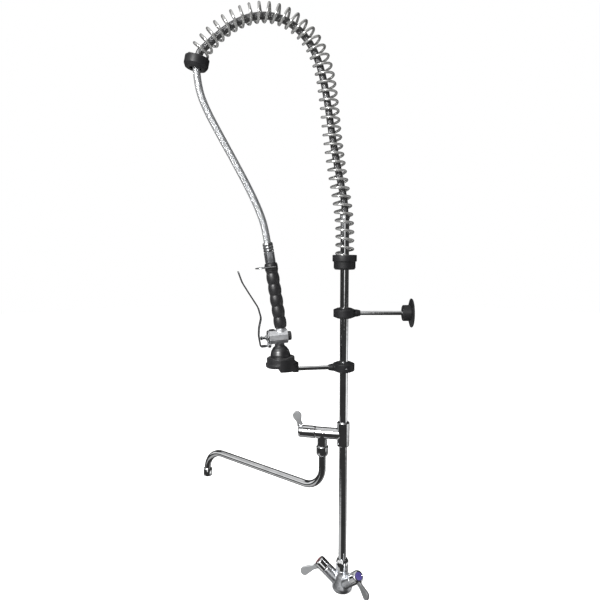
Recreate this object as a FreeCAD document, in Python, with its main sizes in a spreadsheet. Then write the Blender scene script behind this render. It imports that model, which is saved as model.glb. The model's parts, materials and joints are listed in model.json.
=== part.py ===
import FreeCAD, Part
import math
import os
import re
import Sketcher

# Deck mounted pre-rinse unit: mixer, riser with swing spout, spring arch, hose and spray handset.
# Z is up, X points to the user's right, -Y points to the user and +Y to the wall.
# The origin is the centre of the foot, on the deck.

V = FreeCAD.Vector
os.makedirs("parts", exist_ok=True)
doc = FreeCAD.newDocument("PreRinseUnit")

SIZES = {
    # mixer foot, neck and the two valve barrels
    "foot_d": 44.6,
    "foot_seat": 1.6,
    "neck_d": 27,
    "neck_top": 48,
    "branch_d": 26,
    "branch_end": 50,
    "branch_start": 12,
    "hot_rise": 41.5,
    "cold_rise": 40.4,
    "hot_yaw": 253.9,
    "cold_yaw": 34.8,
    "inlet_d": 9,
    "inlet_depth": 14,
    "inlet_gap": 18,
    "stud_d": 6.8,
    "stud_depth": 15,
    # valve cartridge and handle cap
    "chamber_d": 17.2,
    "cartridge_d": 17,
    "nose_d": 12.8,
    "spindle_d": 8,
    "screw_d": 4,
    "cap_d": 26.2,
    "cap_start": 50.6,
    "cap_end": 73.3,
    "index_d": 16.6,
    "lever_thick": 5.2,
    "lever_neck": 10,
    "lever_root": 12.6,
    "lever_rake": 24,
    "lever_drop": 12,
    "hot_lever_turn": 16,
    "cold_lever_turn": -8,
    "tap_lever_rake": 18,
    "tap_lever_drop": 8,
    "lever_reach": 42,
    "paddle_d": 19.2,
    # riser and tee
    "riser_d": 18,
    "riser_wall": 1.2,
    "riser_nut_d": 28,
    "riser_nut_top": 73,
    "tee_bottom": 329,
    "tee_top": 382,
    "tee_d": 27.4,
    "tap_level": 354.8,
    "tap_yaw": 256.4,
    "tap_barrel_d": 25,
    "tap_barrel_end": 61,
    "tap_cap_d": 26.8,
    "tap_cap_start": 61.6,
    "tap_cap_end": 99.5,
    "tap_index_d": 16.6,
    "tap_reach": 36,
    "riser_top": 822,
    # swing spout
    "drop_offset": 46,
    "drop_d": 22.4,
    "spout_yaw": 237,
    "spout_d": 16,
    "spout_wall": 1,
    "spout_nut_top": 325.2,
    "spout_nut_bottom": 303.2,
    "spout_nut_d": 26.8,
    "spout_reach": 337,
    "spout_low": 226.2,
    "spout_high": 249.5,
    "aerator_top": 200.7,
    "aerator_bottom": 180.5,
    "aerator_d": 21.6,
    # riser collars, wall bracket and spray holder
    "bracket_level": 618.5,
    "holder_level": 503,
    "collar_d": 46,
    "collar_tall": 22,
    "rod_d": 9,
    "flange_hub_d": 34,
    "flange_d": 61.6,
    "flange_face": 143.5,
    "flange_pcd": 49,
    "flange_hole_d": 4.5,
    "arch_yaw": 280,
    "cup_centre": 134.4,
    "cup_outer_d": 72,
    "cup_inner_d": 67.2,
    "cup_floor": 509,
    "cup_bottom": 503,
    # spring, its base nut and its end cap
    "base_nut_low": 710.5,
    "base_nut_high": 741,
    "base_nut_d": 51,
    "spring_d": 39.8,
    "spring_wire_d": 5.2,
    "spring_turns": 41.5,
    "end_cap_d": 47.6,
    "end_cap_tall": 21.6,
    "end_cap_tilt": 12,
    # hose and handset
    "hose_d": 14.4,
    "handset_foot": 135.2,
    "handset_level": 589.8,
    "grip_tilt": 8.75,
    "head_tilt": 4,
    "grip_d": 27,
    "grip_waist_d": 23.4,
    "grip_bump_pitch": 23,
    "valve_flats": 27.6,
    "valve_axis": -17.2,
    "nozzle_offset": 5.2,
    "bell_d": 41.6,
    "bumper_d": 64.4,
    "pivot_out": 27,
    "pivot_level": -33.9,
    "pivot_d": 3,
    "lever_width": 16,
    "strip_thick": 2.8,
    "plunger_d": 6,
    "bail_wire_d": 2.2,
    "bail_half": 15.2,
    "bail_long": 39.9,
}

sheet = doc.addObject("Spreadsheet::Sheet", "Sizes")
for row, (alias, value) in enumerate(SIZES.items(), 1):
    sheet.set("A%d" % row, alias)
    sheet.set("B%d" % row, str(value))
    sheet.setAlias("B%d" % row, alias)
doc.recompute()

pieces = []


def size(alias):
    return float(getattr(sheet, alias))


def bound(expression):
    """The expression with every size name pointing at its cell of the sheet."""
    return re.sub(r"\b([a-z]\w+)\b(?!\()", r"Sizes.\1", expression)


def heading(yaw, rise=0.0):
    """Unit vector at a plan angle from +X and a rise above level, in degrees."""
    a = math.radians(yaw)
    b = math.radians(rise)
    return V(math.cos(a) * math.cos(b), math.sin(a) * math.cos(b), math.sin(b))


def frame(origin, axis, side):
    """Placement whose Z lies along axis and whose X is as near side as it can be."""
    z = V(axis).normalize()
    x = (V(side) - z * z.dot(side)).normalize()
    return FreeCAD.Placement(V(origin), FreeCAD.Rotation(x, z.cross(x), z, "ZXY"))


def finish(thing, name):
    """Gives a sub-part the name of its node and puts it on the list that is written."""
    thing.Label = name
    pieces.append(thing)
    return thing


def sketch_on(body, role, name):
    sketch = body.newObject("Sketcher::SketchObject", name)
    origin_plane = next(f for f in body.Origin.OriginFeatures if f.Role == role)
    sketch.AttachmentSupport = [(origin_plane, "")]
    sketch.MapMode = "FlatFace"
    return sketch


def fix_point(sketch, edge, end, across, up):
    """Binds one point of a sketch edge to two expressions."""
    here = sketch.getPoint(edge, end)
    for kind, expression, now in (("DistanceX", across, here.x), ("DistanceY", up, here.y)):
        at = sketch.addConstraint(Sketcher.Constraint(kind, -1, 1, edge, end, now))
        sketch.setExpression("Constraints[%d]" % at, bound(expression))


def outline(sketch, points):
    """Closed outline of straight edges through points given as pairs of expressions."""
    count = len(points)
    for i in range(count):
        start = V(10 + 3 * i % 7, 5 + 2 * i, 0)
        sketch.addGeometry(Part.LineSegment(start, start + V(1, 1, 0)), False)
    for i in range(count):
        sketch.addConstraint(Sketcher.Constraint("Coincident", i, 2, (i + 1) % count, 1))
    for i, (across, up) in enumerate(points):
        fix_point(sketch, i, 1, across, up)


def turned(name, place, points):
    """Body of revolution about its own Z; points are (radius, height) expressions."""
    body = doc.addObject("PartDesign::Body", name)
    sketch = sketch_on(body, "XZ_Plane", name + "_section")
    outline(sketch, points)
    turn = body.newObject("PartDesign::Revolution", name + "_turn")
    turn.Profile = sketch
    turn.ReferenceAxis = (sketch, ["V_Axis"])
    turn.Angle = 360
    body.Tip = turn
    body.Placement = place
    return body


def rod(name, place, radius, height):
    """Plain cylinder that starts at the placement and runs along its Z."""
    cylinder = doc.addObject("Part::Cylinder", name)
    cylinder.setExpression("Radius", bound(radius))
    cylinder.setExpression("Height", bound(height))
    cylinder.Placement = place
    return cylinder


def block(name, place, length, width, height):
    box = doc.addObject("Part::Box", name)
    box.setExpression("Length", bound(length))
    box.setExpression("Width", bound(width))
    box.setExpression("Height", bound(height))
    box.Placement = place
    return box


def prism(name, place, sides, flats, height):
    """Regular prism measured across its flats, along the placement's Z."""
    shape = doc.addObject("Part::Prism", name)
    shape.Polygon = sides
    shape.setExpression("Circumradius", "(%s) / 2 / cos(180 deg / %d)" % (bound(flats), sides))
    shape.setExpression("Height", bound(height))
    shape.Placement = place
    return shape


def fused(name, shapes):
    joined = doc.addObject("Part::MultiFuse", name)
    joined.Shapes = shapes
    joined.Refine = True
    return joined


def cut(name, base, tools):
    """The base with every tool taken away."""
    tool = tools[0] if len(tools) == 1 else fused(name + "_tools", tools)
    result = doc.addObject("Part::Cut", name)
    result.Base = base
    result.Tool = tool
    result.Refine = True
    return result


def moved(place, x=0.0, y=0.0, z=0.0):
    """The same frame with its origin shifted along its own axes."""
    return place.multiply(FreeCAD.Placement(V(x, y, z), FreeCAD.Rotation()))


def turned_to(place, axis, angle):
    """The same frame turned about one of its own axes."""
    return place.multiply(FreeCAD.Placement(V(), FreeCAD.Rotation(axis, angle)))


def rounded_route(points, radii):
    """Wire of straight runs joined by tangent arcs, one radius for each inner point."""
    edges = []
    start = points[0]
    for i, radius in enumerate(radii, 1):
        back = (points[i - 1] - points[i]).normalize()
        ahead = (points[i + 1] - points[i]).normalize()
        half_turn = (math.pi - back.getAngle(ahead)) / 2
        setback = radius * math.tan(half_turn)
        first = points[i] + back * setback
        last = points[i] + ahead * setback
        inward = (back + ahead).normalize()
        middle = points[i] + inward * (radius / math.cos(half_turn) - radius)
        edges.append(Part.LineSegment(start, first).toShape())
        edges.append(Part.Arc(first, middle, last).toShape())
        start = last
    edges.append(Part.LineSegment(start, points[-1]).toShape())
    return Part.Wire(edges)


def easy_radii(points):
    """Arc radii as large as the two runs at each inner point allow."""
    radii = []
    for before, here, after in zip(points, points[1:], points[2:]):
        shorter = min((here - before).Length, (after - here).Length)
        half_turn = (math.pi - (before - here).getAngle(after - here)) / 2
        radii.append(0.45 * shorter / math.tan(half_turn))
    return radii


def swept(name, route, section):
    """Solid part made by drawing a closed section along a route."""
    solid = route.makePipeShell([section], True, False, 1)
    part = doc.addObject("Part::Feature", name)
    part.Shape = solid
    return part


def circle_at(route, radius):
    first = route.Edges[0]
    start = first.valueAt(first.FirstParameter)
    direction = first.tangentAt(first.FirstParameter)
    return Part.Wire([Part.Circle(start, direction, radius).toShape()])


def round_bar(name, route, radius):
    return swept(name, route, circle_at(route, radius))


def pipe(name, route, radius, wall):
    """Open tube along a route."""
    outer = route.makePipeShell([circle_at(route, radius)], True, False, 1)
    inner = route.makePipeShell([circle_at(route, radius - wall)], True, False, 1)
    part = doc.addObject("Part::Feature", name)
    part.Shape = outer.cut(inner)
    return part


# Frames of the main axes
deck = FreeCAD.Placement()
hot_dir = heading(size("hot_yaw"), size("hot_rise"))
cold_dir = heading(size("cold_yaw"), size("cold_rise"))
tap_dir = heading(size("tap_yaw"))
arch_dir = heading(size("arch_yaw"))
spout_dir = heading(size("spout_yaw"))
hot = frame(V(0, 0, size("branch_start")), hot_dir, V(0, 0, -1))
cold = frame(V(0, 0, size("branch_start")), cold_dir, V(0, 0, -1))
tap = frame(V(0, 0, size("tap_level")), tap_dir, V(0, 0, 1))
swivel = FreeCAD.Placement(tap_dir * size("drop_offset"), FreeCAD.Rotation())


def in_arch(across, up, sideways=0.0):
    """Point of the upright plane that holds the arch, measured out from the riser."""
    return arch_dir * across + V(0, 0, up) + V(0, 0, 1).cross(arch_dir) * sideways


# ---- Mixer ----------------------------------------------------------------------------------
mixer_core = turned("mixer_core", deck, [
    ("0", "foot_seat"),
    ("foot_d / 2 - 3.6", "foot_seat"),
    ("foot_d / 2 - 1.2", "3.6"),
    ("foot_d / 2", "6.8"),
    ("foot_d / 2", "10"),
    ("foot_d / 2 - 1.8", "17"),
    ("foot_d / 2 - 4.8", "27"),
    ("neck_d / 2 + 1.5", "36"),
    ("neck_d / 2", "42"),
    ("neck_d / 2", "neck_top"),
    ("0", "neck_top"),
])


def branch(name, place):
    return turned(name, place, [
        ("0", "0"),
        ("branch_d / 2", "0"),
        ("branch_d / 2", "branch_end - 0.8"),
        ("branch_d / 2 - 0.8", "branch_end"),
        ("0", "branch_end"),
    ])


mixer_solid = fused("mixer_solid", [mixer_core, branch("hot_branch", hot), branch("cold_branch", cold)])

front = heading((size("hot_yaw") + size("cold_yaw") - 360) / 2)
beside = V(0, 0, 1).cross(front)
hot_port = frame(V(0, 0, 32), hot_dir - V(0, 0, 0.5), V(0, 0, 1))
cold_port = frame(V(0, 0, 32), cold_dir - V(0, 0, 0.5), V(0, 0, 1))
hot_inlet = FreeCAD.Placement(front * 3 - beside * (size("inlet_gap") / 2), FreeCAD.Rotation())
cold_inlet = FreeCAD.Placement(front * 3 + beside * (size("inlet_gap") / 2), FreeCAD.Rotation())
stud = FreeCAD.Placement(front * -10.5, FreeCAD.Rotation())
finish(cut("mixer_body_cut", mixer_solid, [
    rod("riser_socket", moved(deck, z=38), "riser_d / 2 + 0.05", "20"),
    rod("mixing_well", moved(deck, z=27), "6", "30"),
    rod("hot_way", moved(hot, z=8), "4", "30"),
    rod("cold_way", moved(cold, z=8), "4", "30"),
    rod("hot_chamber", moved(hot, z=31), "chamber_d / 2", "30"),
    rod("cold_chamber", moved(cold, z=31), "chamber_d / 2", "30"),
    rod("hot_port_bore", hot_port, "2.6", "30"),
    rod("cold_port_bore", cold_port, "2.6", "30"),
    rod("hot_inlet_bore", hot_inlet, "inlet_d / 2", "inlet_depth"),
    rod("cold_inlet_bore", cold_inlet, "inlet_d / 2", "inlet_depth"),
    rod("hot_feed", moved(hot_inlet, z=13), "3", "8"),
    rod("cold_feed", moved(cold_inlet, z=13), "3", "8"),
    rod("stud_bore", stud, "stud_d / 2", "stud_depth"),
]), "mixer_body")

finish(cut("gasket_cut", rod("gasket_disc", deck, "foot_d / 2 - 3.8", "foot_seat - 0.02"), [
    rod("gasket_hot", moved(hot_inlet, z=-1), "inlet_d / 2 + 0.5", "5"),
    rod("gasket_cold", moved(cold_inlet, z=-1), "inlet_d / 2 + 0.5", "5"),
    rod("gasket_stud", moved(stud, z=-1), "stud_d / 2 + 0.6", "5"),
]), "foot_gasket")


def cartridge(name, place, start, nose):
    """Valve cartridge with a bore for its spindle."""
    return finish(turned(name + "_turned", place, [
        ("0", start),
        ("cartridge_d / 2", start),
        ("cartridge_d / 2", nose + " - 7.2"),
        ("nose_d / 2", nose + " - 7.2"),
        ("nose_d / 2", nose),
        ("spindle_d / 2 + 0.05", nose),
        ("spindle_d / 2 + 0.05", nose + " - 13"),
        ("0", nose + " - 13"),
    ]), name)


def handle(name, place, cap_d, start, end, index_d, reach, root, drop, rake, spin):
    """Cap with a raked lever: a neck that widens to a round paddle."""
    radius = cap_d + " / 2"
    cap = turned(name + "_cap", place, [
        ("nose_d / 2 + 0.6", start),
        (radius + " - 0.7", start),
        (radius, start + " + 0.7"),
        (radius, end + " - 4.6"),
        (radius + " - 0.7", end + " - 2.4"),
        (radius + " - 2.2", end + " - 0.8"),
        (radius + " - 3.9", end),
        (index_d + " / 2 + 0.1", end),
        (index_d + " / 2 + 0.1", end + " - 1.4"),
        ("screw_d / 2 + 1.8", end + " - 1.4"),
        ("screw_d / 2 + 1.8", end + " - 4.8"),
        ("screw_d / 2 + 0.1", end + " - 4.8"),
        ("screw_d / 2 + 0.1", end + " - 9.3"),
        ("spindle_d / 2", end + " - 9.3"),
        ("spindle_d / 2", start + " + 7.6"),
        ("nose_d / 2 + 0.6", start + " + 7.6"),
    ])
    # the lever's X runs out along the arm, its Y towards the end of the cap
    lever_place = moved(turned_to(place, V(0, 0, 1), spin), z=size(end) - drop)
    lever_place = turned_to(turned_to(lever_place, V(0, 1, 0), -rake), V(1, 0, 0), 90)
    body = doc.addObject("PartDesign::Body", name + "_lever")
    sketch = sketch_on(body, "XY_Plane", name + "_lever_outline")
    hip = "sqrt((paddle_d / 2) ^ 2 - 16)"
    centre = V(size(reach), 0, 0)
    r = size("paddle_d") / 2
    low = math.atan2(-math.sqrt(r * r - 16), -4)
    bend = r * math.sin(-low)
    near = [V(centre.x - 4, bend, 0), V(22, 4.6, 0), V(10, 6, 0), V(10, -6, 0), V(22, -4.6, 0),
            V(centre.x - 4, -bend, 0)]
    corners = [
        (reach + " - 4", hip),
        ("22", "lever_neck / 2"),
        (root, "lever_root / 2"),
        (root, "-lever_root / 2"),
        ("22", "-lever_neck / 2"),
        (reach + " - 4", "-" + hip),
    ]
    for i in range(5):
        sketch.addGeometry(Part.LineSegment(near[i], near[i + 1]), False)
    sketch.addGeometry(Part.ArcOfCircle(Part.Circle(centre, V(0, 0, 1), r), low, -low), False)
    for i in range(5):
        sketch.addConstraint(Sketcher.Constraint("Coincident", i, 2, i + 1, 1))
    sketch.addConstraint(Sketcher.Constraint("Coincident", 5, 2, 0, 1))
    for i in range(5):
        fix_point(sketch, i, 1, *corners[i])
    fix_point(sketch, 5, 1, *corners[5])
    at = sketch.addConstraint(Sketcher.Constraint("Radius", 5, r))
    sketch.setExpression("Constraints[%d]" % at, bound("paddle_d / 2"))
    pad = body.newObject("PartDesign::Pad", name + "_lever_pad")
    pad.Profile = sketch
    pad.setExpression("Length", bound("lever_thick"))
    pad.Midplane = True
    body.Tip = pad
    body.Placement = lever_place
    return finish(fused(name + "_joined", [cap, body]), name)


def spindle(name, place, start, end):
    return finish(turned(name + "_turned", place, [
        ("0", start + " - 5.8"),
        ("spindle_d / 2", start + " - 5.8"),
        ("spindle_d / 2", end + " - 9.4"),
        ("screw_d / 2", end + " - 9.4"),
        ("screw_d / 2", end + " - 15"),
        ("0", end + " - 15"),
    ]), name)


def handle_screw(name, place, end):
    return finish(turned(name + "_turned", place, [
        ("0", end + " - 14.9"),
        ("screw_d / 2", end + " - 14.9"),
        ("screw_d / 2", end + " - 4.7"),
        ("screw_d / 2 + 1.6", end + " - 4.7"),
        ("screw_d / 2 + 1.6", end + " - 2.1"),
        ("1.1", end + " - 2.1"),
        ("1.1", end + " - 3.8"),
        ("0", end + " - 3.8"),
    ]), name)


def index_disc(name, place, end, index_d):
    return finish(turned(name + "_turned", place, [
        ("0", end + " - 1.3"),
        (index_d + " / 2", end + " - 1.3"),
        (index_d + " / 2", end + " - 0.3"),
        (index_d + " / 2 - 0.5", end),
        ("0", end),
    ]), name)


for side, place in (("hot", hot), ("cold", cold)):
    cartridge(side + "_cartridge", place, "branch_end - 18.5", "cap_start + 6.9")
    handle(side + "_handle", place, "cap_d", "cap_start", "cap_end", "index_d", "lever_reach",
           "10.6", size("lever_drop"), size("lever_rake"), size(side + "_lever_turn"))
    spindle(side + "_spindle", place, "cap_start", "cap_end")
    handle_screw(side + "_handle_screw", place, "cap_end")
    index_disc(side + "_index_disc", place, "cap_end", "index_d")

# ---- Riser and tee ---------------------------------------------------------------------------
finish(turned("riser_nut", deck, [
    ("riser_d / 2 + 0.1", "neck_top + 0.1"),
    ("riser_nut_d / 2 - 0.8", "neck_top + 0.1"),
    ("riser_nut_d / 2", "neck_top + 0.9"),
    ("riser_nut_d / 2", "riser_nut_top - 6"),
    ("riser_nut_d / 2 - 1.2", "riser_nut_top - 3.4"),
    ("riser_d / 2 + 2.2", "riser_nut_top"),
    ("riser_d / 2 + 0.1", "riser_nut_top"),
]), "riser_lock_nut")


def riser_tube(name, bottom, top):
    return finish(turned(name + "_turned", deck, [
        ("riser_d / 2 - riser_wall", bottom),
        ("riser_d / 2", bottom),
        ("riser_d / 2", top),
        ("riser_d / 2 - riser_wall", top),
    ]), name)


riser_tube("lower_riser", "neck_top - 9.9", "tee_bottom + 10")
riser_tube("upper_riser", "tee_top - 10", "riser_top")

tee_core = turned("tee_core", deck, [
    ("0", "tee_bottom"),
    ("tee_d / 2 - 0.9", "tee_bottom"),
    ("tee_d / 2", "tee_bottom + 1"),
    ("tee_d / 2", "tee_top - 1"),
    ("tee_d / 2 - 0.9", "tee_top"),
    ("0", "tee_top"),
])
tee_barrel = turned("tee_barrel", tap, [
    ("0", "0"),
    ("tap_barrel_d / 2", "0"),
    ("tap_barrel_d / 2", "tap_barrel_end - 0.6"),
    ("tap_barrel_d / 2 - 0.6", "tap_barrel_end"),
    ("0", "tap_barrel_end"),
])
tee_drop = turned("tee_drop", swivel, [
    ("0", "spout_nut_top - 11"),
    ("drop_d / 2 - 0.9", "spout_nut_top - 11"),
    ("drop_d / 2 - 0.9", "spout_nut_top + 0.2"),
    ("drop_d / 2", "spout_nut_top + 0.2"),
    ("drop_d / 2", "tap_level"),
    ("0", "tap_level"),
])
tee_solid = fused("tee_solid", [tee_core, tee_barrel, tee_drop])
finish(cut("tee_cut", tee_solid, [
    rod("tee_lower_socket", moved(deck, z=size("tee_bottom") - 1), "riser_d / 2 + 0.02", "11"),
    rod("tee_way", moved(deck, z=size("tee_bottom")), "7.2", "tee_top - tee_bottom"),
    rod("tee_upper_socket", moved(deck, z=size("tee_top") - 10), "riser_d / 2 + 0.02", "11"),
    rod("tap_way", tap, "4.5", "50"),
    rod("tap_chamber", moved(tap, z=size("tap_barrel_end") - 19), "chamber_d / 2", "30"),
    rod("drop_bore", moved(swivel, z=size("spout_nut_top") - 12), "spout_d / 2 + 0.25", "22"),
    rod("drop_way", moved(swivel, z=size("spout_nut_top")), "4.5", "30"),
]), "tee_body")


# ---- Tap handle ------------------------------------------------------------------------------
cartridge("tap_cartridge", tap, "tap_barrel_end - 18.5", "tap_cap_start + 6.9")
handle("tap_handle", tap, "tap_cap_d", "tap_cap_start", "tap_cap_end", "tap_index_d", "tap_reach",
       "11.5", size("tap_lever_drop"), size("tap_lever_rake"), 0)
spindle("tap_spindle", tap, "tap_cap_start", "tap_cap_end")
handle_screw("tap_handle_screw", tap, "tap_cap_end")
index_disc("tap_index_disc", tap, "tap_cap_end", "tap_index_d")

# ---- Swing spout -----------------------------------------------------------------------------
finish(turned("spout_nut_turned", swivel, [
    ("spout_d / 2 + 0.4", "spout_nut_bottom"),
    ("spout_nut_d / 2 - 3.2", "spout_nut_bottom"),
    ("spout_nut_d / 2", "spout_nut_bottom + 4.6"),
    ("spout_nut_d / 2", "spout_nut_top - 1"),
    ("spout_nut_d / 2 - 1", "spout_nut_top"),
    ("drop_d / 2 - 0.8", "spout_nut_top"),
    ("drop_d / 2 - 0.8", "spout_nut_bottom + 2.6"),
    ("spout_d / 2 + 0.4", "spout_nut_bottom + 2.6"),
]), "spout_nut")
finish(turned("spout_bush_turned", swivel, [
    ("spout_d / 2", "spout_nut_bottom + 3"),
    ("drop_d / 2 - 1.3", "spout_nut_bottom + 3"),
    ("drop_d / 2 - 1.3", "spout_nut_bottom + 9.8"),
    ("spout_d / 2", "spout_nut_bottom + 9.8"),
]), "spout_bush")


def in_spout(across, up):
    return swivel.Base + spout_dir * across + V(0, 0, up)


spout_route = rounded_route([
    in_spout(0, size("spout_nut_top") + 8),
    in_spout(0, size("spout_low")),
    in_spout(size("spout_reach"), size("spout_high")),
    in_spout(size("spout_reach"), size("aerator_top") - 9),
], [44, 46])
finish(pipe("spout_pipe", spout_route, size("spout_d") / 2, size("spout_wall")), "spout_tube")

outlet = FreeCAD.Placement(in_spout(size("spout_reach"), 0), FreeCAD.Rotation())
finish(turned("aerator_shell", outlet, [
    ("spout_d / 2 + 0.02", "aerator_top"),
    ("spout_d / 2 + 0.02", "aerator_top - 9.2"),
    ("spout_d / 2 - 1.4", "aerator_top - 9.2"),
    ("spout_d / 2 - 1.4", "aerator_top - 12"),
    ("aerator_d / 2 - 1.4", "aerator_top - 12"),
    ("aerator_d / 2 - 1.4", "aerator_bottom"),
    ("aerator_d / 2 - 0.5", "aerator_bottom"),
    ("aerator_d / 2", "aerator_bottom + 0.6"),
    ("aerator_d / 2", "aerator_top - 2.2"),
    ("aerator_d / 2 - 1.2", "aerator_top"),
]), "aerator_housing")
insert_core = turned("aerator_core", outlet, [
    ("0", "aerator_bottom + 1"),
    ("aerator_d / 2 - 1.45", "aerator_bottom + 1"),
    ("aerator_d / 2 - 1.45", "aerator_top - 12.1"),
    ("0", "aerator_top - 12.1"),
])
jets = [
    rod("aerator_jet_%d" % i, moved(outlet, 5.2 * math.cos(a), 5.2 * math.sin(a), size("aerator_bottom")),
        "1.3", "20")
    for i, a in enumerate(math.radians(60 * k) for k in range(6))
]
finish(cut("aerator_cut", insert_core, jets + [
    rod("aerator_middle", moved(outlet, z=size("aerator_bottom")), "1.3", "20"),
]), "aerator_insert")

# ---- Riser collars, wall bracket and spray holder ----------------------------------------------


def riser_collar(name, level, toward):
    """Two-cone collar round the riser with a socket for a rod on one side."""
    place = frame(V(0, 0, size(level)), V(0, 0, 1), toward)
    ring = turned(name + "_ring", place, [
        ("0", "-collar_tall / 2"),
        ("collar_d / 2 - 8", "-collar_tall / 2"),
        ("collar_d / 2", "-collar_tall / 2 + 3.4"),
        ("collar_d / 2", "collar_tall / 2 - 3.4"),
        ("collar_d / 2 - 8", "collar_tall / 2"),
        ("0", "collar_tall / 2"),
    ])
    out = frame(V(0, 0, size(level)), toward, V(0, 0, 1))
    socket = turned(name + "_socket", out, [
        ("0", "12"),
        ("rod_d / 2 + 3.4", "12"),
        ("rod_d / 2 + 3.4", "collar_d / 2 + 3"),
        ("rod_d / 2 + 1.6", "collar_d / 2 + 11"),
        ("0", "collar_d / 2 + 11"),
    ])
    screw_way = frame(V(0, 0, size(level)), V(0, 0, 1).cross(toward), V(0, 0, 1))
    finish(cut(name + "_cut", fused(name + "_solid", [ring, socket]), [
        rod(name + "_bore", moved(place, z=-20), "riser_d / 2 + 0.1", "40"),
        rod(name + "_rod_bore", moved(out, z=16), "rod_d / 2", "30"),
        rod(name + "_screw_bore", moved(screw_way, z=5), "2.5", "30"),
    ]), name)
    finish(turned(name + "_screw_turned", screw_way, [
        ("0", "riser_d / 2 + 0.25"),
        ("1.6", "riser_d / 2 + 0.25"),
        ("2.45", "riser_d / 2 + 1.2"),
        ("2.45", "collar_d / 2 + 0.6"),
        ("1.3", "collar_d / 2 + 0.6"),
        ("1.3", "collar_d / 2 - 2.4"),
        ("0", "collar_d / 2 - 2.4"),
    ]), name + "_set_screw")
    return out


def brace(name, place, end):
    return finish(turned(name + "_turned", place, [
        ("0", "16.1"),
        ("rod_d / 2", "16.1"),
        ("rod_d / 2", end),
        ("0", end),
    ]), name)


wall_out = riser_collar("bracket_collar", "bracket_level", V(0, 1, 0))
brace("bracket_rod", wall_out, "flange_face - 6")
flange_core = turned("flange_core", wall_out, [
    ("0", "flange_face - 20.5"),
    ("flange_hub_d / 2 - 1.4", "flange_face - 20.5"),
    ("flange_hub_d / 2", "flange_face - 19"),
    ("flange_hub_d / 2", "flange_face - 5"),
    ("flange_d / 2 - 4.5", "flange_face - 4"),
    ("flange_d / 2", "flange_face - 2.6"),
    ("flange_d / 2", "flange_face - 1.4"),
    ("flange_d / 2 - 0.8", "flange_face"),
    ("0", "flange_face"),
])
flange_holes = [
    rod("flange_hole_%d" % i, moved(
        turned_to(wall_out, V(0, 0, 1), 60 + 120 * i),
        x=size("flange_pcd") / 2, z=size("flange_face") - 30), "flange_hole_d / 2", "40")
    for i in range(3)
]
finish(cut("flange_cut", flange_core, flange_holes + [
    rod("flange_rod_bore", moved(wall_out, z=size("flange_face") - 40), "rod_d / 2", "34.1"),
]), "wall_flange")

holder_out = riser_collar("holder_collar", "holder_level", arch_dir)
brace("holder_rod", holder_out, "cup_centre - cup_outer_d / 2 + 11")
cup = frame(in_arch(size("cup_centre"), 0), V(0, 0, 1), arch_dir)
cup_boss = rod("cup_boss", moved(holder_out, z=size("cup_centre") - size("cup_outer_d") / 2), "7.8", "12")
cup_core = turned("cup_core", cup, [
    ("0", "cup_bottom"),
    ("cup_outer_d / 2 - 1", "cup_bottom"),
    ("cup_outer_d / 2", "cup_bottom + 1"),
    ("cup_outer_d / 2", "cup_floor + 20"),
    ("cup_inner_d / 2", "cup_floor + 20"),
    ("cup_inner_d / 2", "cup_floor"),
    ("0", "cup_floor"),
])
finish(cut("cup_cut", fused("cup_solid", [cup_core, cup_boss]), [
    block("cup_mouth", moved(cup, 7, -50, 480), "60", "100", "80"),
    block("cup_back_step", moved(cup, -60, -50, size("cup_floor") + 8), "37.6", "100", "40"),
    rod("cup_drain", moved(cup, -8, 0, 480), "7", "60"),
    rod("cup_rod_bore", moved(holder_out, z=90), "rod_d / 2", "19.5"),
]), "spray_holder")

# ---- Spring base nut, spring and end cap ---------------------------------------------------------
finish(turned("base_nut_turned", deck, [
    ("riser_d / 2 + 0.1", "base_nut_low"),
    ("base_nut_d / 2 - 5", "base_nut_low"),
    ("base_nut_d / 2 - 2.6", "base_nut_low + 3.4"),
    ("base_nut_d / 2 - 2.6", "base_nut_low + 16"),
    ("base_nut_d / 2", "base_nut_low + 17.4"),
    ("base_nut_d / 2", "base_nut_high - 1"),
    ("base_nut_d / 2 - 1", "base_nut_high"),
    ("spring_d / 2 + 0.4", "base_nut_high"),
    ("spring_d / 2 + 0.4", "base_nut_high - 9"),
    ("riser_d / 2 + 0.1", "base_nut_high - 9"),
]), "spring_base_nut")

spring_line = [
    (0, 734.8), (0, 765), (0, 800), (6, 850), (19, 920), (29.4, 990), (35.6, 1056), (46.4, 1119),
    (70.5, 1171), (115, 1208), (165, 1218), (212, 1205), (250.5, 1179.5), (278, 1151),
    (294.2, 1131.1), (297.6, 1115),
]


def smooth_curve(points):
    """Clamped quadratic spline with the points as its poles."""
    curve = Part.BSplineCurve()
    inner = len(points) - 3
    curve.buildFromPolesMultsKnots(points, [3] + [1] * inner + [3], list(range(inner + 2)), False, 2)
    return curve


def coil(curve, radius, turns, steps):
    """Corner points of a left-hand coil wound round a curve of the arch plane."""
    length = curve.length()
    across = V(0, 0, 1).cross(arch_dir)
    corners = []
    count = int(turns * steps)
    for i in range(count + 1):
        along = curve.parameterAtDistance(length * i / count)
        inward = across.cross(curve.tangent(along)[0]).normalize()
        angle = math.pi - 2 * math.pi * i / steps
        corners.append(curve.value(along) + (inward * math.cos(angle) + across * math.sin(angle)) * radius)
    return corners


spring_curve = smooth_curve([in_arch(*point) for point in spring_line])
spring_route = Part.makePolygon(
    coil(spring_curve, (size("spring_d") - size("spring_wire_d")) / 2, size("spring_turns"), 8))
finish(round_bar("spring_wire", spring_route, size("spring_wire_d") / 2), "spring")

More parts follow.
